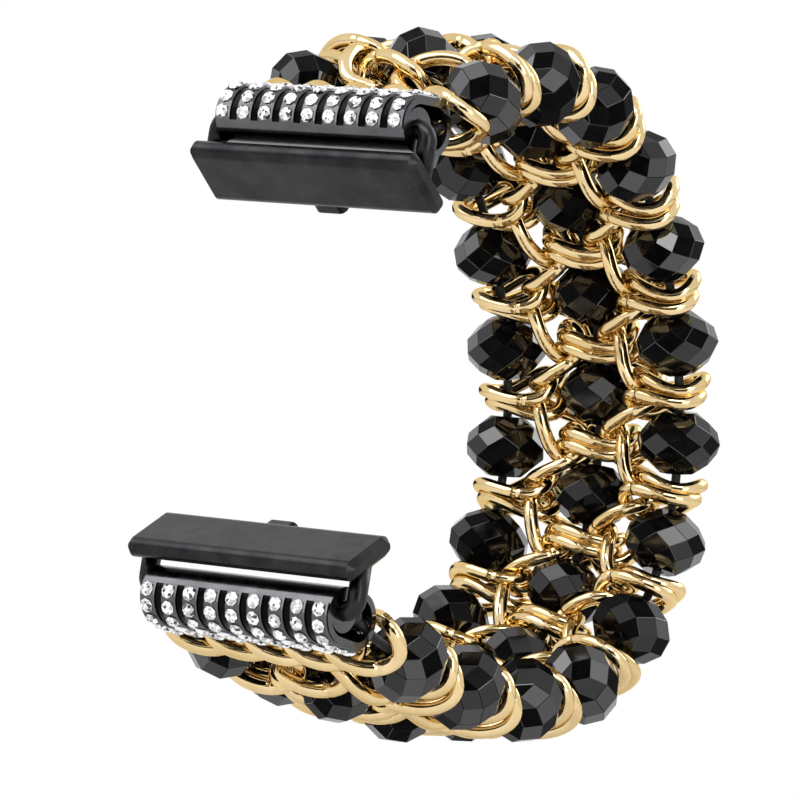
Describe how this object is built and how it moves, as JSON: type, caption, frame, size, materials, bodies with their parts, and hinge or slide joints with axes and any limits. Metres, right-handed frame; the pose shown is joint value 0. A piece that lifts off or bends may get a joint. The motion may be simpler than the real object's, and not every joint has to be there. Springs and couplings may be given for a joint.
{
  "type": "bead watch band",
  "caption": "Stretch watch band of three rows of faceted glass beads with a curb chain woven between them, stone-set end barrels and slide-in adapters.",
  "frame": {"origin": "centre of the watch case that the band fits, midway between the two adapter tongues and in the middle of the case's thickness", "axes": "X across the band towards the crown side, -Y the way the dial faces, +Z twelve o'clock"},
  "size_m": [0.0318, 0.0691, 0.0764],
  "materials": {
    "black_glass": "polished faceted black glass",
    "black_elastic": "black stretch cord",
    "gold_chain": "polished gold plate",
    "clear_stone": "faceted clear stones",
    "dark_barrel": "polished black plate",
    "dark_adapter": "smooth dark plate",
    "spring_steel": "bare spring wire"
  },
  "bodies": {
    "band": {"upper_barrel": "dark_barrel", "lower_barrel": "dark_barrel", "upper_barrel_stones": "clear_stone", "lower_barrel_stones": "clear_stone", "left_cord": "black_elastic", "centre_cord": "black_elastic", "right_cord": "black_elastic", "upper_edge_links": "gold_chain", "lower_edge_links": "gold_chain", "arch_links": "gold_chain", "vee_links": "gold_chain"},
    "upper_end": {"upper_adapter": "dark_adapter", "upper_bail": "dark_adapter", "upper_lock_spring": "spring_steel"},
    "upper_plunger": {"upper_lock_plunger": "dark_adapter"},
    "lower_end": {"lower_adapter": "dark_adapter", "lower_bail": "dark_adapter", "lower_lock_spring": "spring_steel"},
    "lower_plunger": {"lower_lock_plunger": "dark_adapter"},
    "left_bead_01": {"left_bead_01": "black_glass"},
    "left_bead_02": {"left_bead_02": "black_glass"},
    "left_bead_03": {"left_bead_03": "black_glass"},
    "left_bead_04": {"left_bead_04": "black_glass"},
    "left_bead_05": {"left_bead_05": "black_glass"},
    "left_bead_06": {"left_bead_06": "black_glass"},
    "left_bead_07": {"left_bead_07": "black_glass"},
    "left_bead_08": {"left_bead_08": "black_glass"},
    "left_bead_09": {"left_bead_09": "black_glass"},
    "left_bead_10": {"left_bead_10": "black_glass"},
    "left_bead_11": {"left_bead_11": "black_glass"},
    "left_bead_12": {"left_bead_12": "black_glass"},
    "left_bead_13": {"left_bead_13": "black_glass"},
    "centre_bead_01": {"centre_bead_01": "black_glass"},
    "centre_bead_02": {"centre_bead_02": "black_glass"},
    "centre_bead_03": {"centre_bead_03": "black_glass"},
    "centre_bead_04": {"centre_bead_04": "black_glass"},
    "centre_bead_05": {"centre_bead_05": "black_glass"},
    "centre_bead_06": {"centre_bead_06": "black_glass"},
    "centre_bead_07": {"centre_bead_07": "black_glass"},
    "centre_bead_08": {"centre_bead_08": "black_glass"},
    "centre_bead_09": {"centre_bead_09": "black_glass"},
    "centre_bead_10": {"centre_bead_10": "black_glass"},
    "centre_bead_11": {"centre_bead_11": "black_glass"},
    "centre_bead_12": {"centre_bead_12": "black_glass"},
    "right_bead_01": {"right_bead_01": "black_glass"},
    "right_bead_02": {"right_bead_02": "black_glass"},
    "right_bead_03": {"right_bead_03": "black_glass"},
    "right_bead_04": {"right_bead_04": "black_glass"},
    "right_bead_05": {"right_bead_05": "black_glass"},
    "right_bead_06": {"right_bead_06": "black_glass"},
    "right_bead_07": {"right_bead_07": "black_glass"},
    "right_bead_08": {"right_bead_08": "black_glass"},
    "right_bead_09": {"right_bead_09": "black_glass"},
    "right_bead_10": {"right_bead_10": "black_glass"},
    "right_bead_11": {"right_bead_11": "black_glass"},
    "right_bead_12": {"right_bead_12": "black_glass"},
    "right_bead_13": {"right_bead_13": "black_glass"}
  },
  "joints": [
    {"name": "upper_end_hinge", "type": "hinge", "parent": "band", "child": "upper_end", "pos_m": [0, 0.0053, 0.0246], "axis": [1, 0, 0], "range_deg": [-18, 12]},
    {"name": "upper_lock_press", "type": "slide", "parent": "upper_end", "child": "upper_plunger", "axis": [0, -0.8387, 0.5446], "range_m": [0, 0.0007], "stiffness_N_per_m": 500, "springref_m": -0.0006, "deforming": ["upper_lock_spring"]},
    {"name": "lower_end_hinge", "type": "hinge", "parent": "band", "child": "lower_end", "pos_m": [0, 0.0053, -0.0246], "axis": [1, 0, 0], "range_deg": [-12, 18]},
    {"name": "lower_lock_press", "type": "slide", "parent": "lower_end", "child": "lower_plunger", "axis": [0, -0.8387, -0.5446], "range_m": [0, 0.0007], "stiffness_N_per_m": 500, "springref_m": -0.0006, "deforming": ["lower_lock_spring"]},
    {"name": "left_bead_01_spin", "type": "hinge", "parent": "band", "child": "left_bead_01", "pos_m": [-0.0113, 0.01704, 0.02988], "axis": [0, 0.8498, 0.5271], "continuous": true},
    {"name": "left_bead_02_spin", "type": "hinge", "parent": "band", "child": "left_bead_02", "pos_m": [-0.0113, 0.02746, 0.03374], "axis": [0, 0.9875, 0.1577], "continuous": true},
    {"name": "left_bead_03_spin", "type": "hinge", "parent": "band", "child": "left_bead_03", "pos_m": [-0.0113, 0.03861, 0.03312], "axis": [0, 0.9642, -0.2651], "continuous": true},
    {"name": "left_bead_04_spin", "type": "hinge", "parent": "band", "child": "left_bead_04", "pos_m": [-0.0113, 0.04861, 0.02811], "axis": [0, 0.7885, -0.615], "continuous": true},
    {"name": "left_bead_05_spin", "type": "hinge", "parent": "band", "child": "left_bead_05", "pos_m": [-0.0113, 0.05634, 0.01996], "axis": [0, 0.5715, -0.8206], "continuous": true},
    {"name": "left_bead_06_spin", "type": "hinge", "parent": "band", "child": "left_bead_06", "pos_m": [-0.0113, 0.06169, 0.01008], "axis": [0, 0.3748, -0.9271], "continuous": true},
    {"name": "left_bead_07_spin", "type": "hinge", "parent": "band", "child": "left_bead_07", "pos_m": [-0.0113, 0.06458, -0.00068], "axis": [0, 0.1395, -0.9902], "continuous": true},
    {"name": "left_bead_08_spin", "type": "hinge", "parent": "band", "child": "left_bead_08", "pos_m": [-0.0113, 0.06404, -0.01163], "axis": [0, -0.2371, -0.9715], "continuous": true},
    {"name": "left_bead_09_spin", "type": "hinge", "parent": "band", "child": "left_bead_09", "pos_m": [-0.0113, 0.05903, -0.02117], "axis": [0, -0.6659, -0.746], "continuous": true},
    {"name": "left_bead_10_spin", "type": "hinge", "parent": "band", "child": "left_bead_10", "pos_m": [-0.0113, 0.05022, -0.02738], "axis": [0, -0.9269, -0.3753], "continuous": true},
    {"name": "left_bead_11_spin", "type": "hinge", "parent": "band", "child": "left_bead_11", "pos_m": [-0.0113, 0.03963, -0.0298], "axis": [0, -0.998, -0.0627], "continuous": true},
    {"name": "left_bead_12_spin", "type": "hinge", "parent": "band", "child": "left_bead_12", "pos_m": [-0.0113, 0.0287, -0.02953], "axis": [0, -0.9937, 0.1125], "continuous": true},
    {"name": "left_bead_13_spin", "type": "hinge", "parent": "band", "child": "left_bead_13", "pos_m": [-0.0113, 0.01775, -0.02794], "axis": [0, -0.9849, 0.1733], "continuous": true},
    {"name": "centre_bead_01_spin", "type": "hinge", "parent": "band", "child": "centre_bead_01", "pos_m": [0, 0.02123, 0.03356], "axis": [0, 0.9337, 0.358], "continuous": true},
    {"name": "centre_bead_02_spin", "type": "hinge", "parent": "band", "child": "centre_bead_02", "pos_m": [0, 0.03261, 0.03545], "axis": [0, 0.9993, -0.0368], "continuous": true},
    {"name": "centre_bead_03_spin", "type": "hinge", "parent": "band", "child": "centre_bead_03", "pos_m": [0, 0.04382, 0.03272], "axis": [0, 0.904, -0.4275], "continuous": true},
    {"name": "centre_bead_04_spin", "type": "hinge", "parent": "band", "child": "centre_bead_04", "pos_m": [0, 0.05325, 0.02606], "axis": [0, 0.7049, -0.7093], "continuous": true},
    {"name": "centre_bead_05_spin", "type": "hinge", "parent": "band", "child": "centre_bead_05", "pos_m": [0, 0.06024, 0.0169], "axis": [0, 0.4958, -0.8684], "continuous": true},
    {"name": "centre_bead_06_spin", "type": "hinge", "parent": "band", "child": "centre_bead_06", "pos_m": [0, 0.06475, 0.00631], "axis": [0, 0.2842, -0.9588], "continuous": true},
    {"name": "centre_bead_07_spin", "type": "hinge", "parent": "band", "child": "centre_bead_07", "pos_m": [0, 0.06632, -0.00512], "axis": [0, -0.014, -0.9999], "continuous": true},
    {"name": "centre_bead_08_spin", "type": "hinge", "parent": "band", "child": "centre_bead_08", "pos_m": [0, 0.06371, -0.01634], "axis": [0, -0.4279, -0.9038], "continuous": true},
    {"name": "centre_bead_09_spin", "type": "hinge", "parent": "band", "child": "centre_bead_09", "pos_m": [0, 0.05647, -0.02526], "axis": [0, -0.7961, -0.6052], "continuous": true},
    {"name": "centre_bead_10_spin", "type": "hinge", "parent": "band", "child": "centre_bead_10", "pos_m": [0, 0.04608, -0.03027], "axis": [0, -0.9696, -0.2446], "continuous": true},
    {"name": "centre_bead_11_spin", "type": "hinge", "parent": "band", "child": "centre_bead_11", "pos_m": [0, 0.03465, -0.03162], "axis": [0, -0.9999, 0.0145], "continuous": true},
    {"name": "centre_bead_12_spin", "type": "hinge", "parent": "band", "child": "centre_bead_12", "pos_m": [0, 0.02328, -0.03075], "axis": [0, -0.9902, 0.14], "continuous": true},
    {"name": "right_bead_01_spin", "type": "hinge", "parent": "band", "child": "right_bead_01", "pos_m": [0.0113, 0.01657, 0.02964], "axis": [0, 0.8447, 0.5353], "continuous": true},
    {"name": "right_bead_02_spin", "type": "hinge", "parent": "band", "child": "right_bead_02", "pos_m": [0.0113, 0.02668, 0.03366], "axis": [0, 0.9826, 0.186], "continuous": true},
    {"name": "right_bead_03_spin", "type": "hinge", "parent": "band", "child": "right_bead_03", "pos_m": [0.0113, 0.03742, 0.03346], "axis": [0, 0.9752, -0.2211], "continuous": true},
    {"name": "right_bead_04_spin", "type": "hinge", "parent": "band", "child": "right_bead_04", "pos_m": [0.0113, 0.04728, 0.02908], "axis": [0, 0.8187, -0.5742], "continuous": true},
    {"name": "right_bead_05_spin", "type": "hinge", "parent": "band", "child": "right_bead_05", "pos_m": [0.0113, 0.05516, 0.02153], "axis": [0, 0.6087, -0.7934], "continuous": true},
    {"name": "right_bead_06_spin", "type": "hinge", "parent": "band", "child": "right_bead_06", "pos_m": [0.0113, 0.06085, 0.01207], "axis": [0, 0.4158, -0.9094], "continuous": true},
    {"name": "right_bead_07_spin", "type": "hinge", "parent": "band", "child": "right_bead_07", "pos_m": [0.0113, 0.06428, 0.00151], "axis": [0, 0.1987, -0.9801], "continuous": true},
    {"name": "right_bead_08_spin", "type": "hinge", "parent": "band", "child": "right_bead_08", "pos_m": [0.0113, 0.06451, -0.00956], "axis": [0, -0.1567, -0.9876], "continuous": true},
    {"name": "right_bead_09_spin", "type": "hinge", "parent": "band", "child": "right_bead_09", "pos_m": [0.0113, 0.06022, -0.01966], "axis": [0, -0.601, -0.7992], "continuous": true},
    {"name": "right_bead_10_spin", "type": "hinge", "parent": "band", "child": "right_bead_10", "pos_m": [0.0113, 0.05169, -0.02664], "axis": [0, -0.9024, -0.431], "continuous": true},
    {"name": "right_bead_11_spin", "type": "hinge", "parent": "band", "child": "right_bead_11", "pos_m": [0.0113, 0.04087, -0.02962], "axis": [0, -0.9956, -0.0936], "continuous": true},
    {"name": "right_bead_12_spin", "type": "hinge", "parent": "band", "child": "right_bead_12", "pos_m": [0.0113, 0.02949, -0.02957], "axis": [0, -0.9948, 0.1023], "continuous": true},
    {"name": "right_bead_13_spin", "type": "hinge", "parent": "band", "child": "right_bead_13", "pos_m": [0.0113, 0.01828, -0.02803], "axis": [0, -0.9851, 0.1717], "continuous": true}
  ]
}
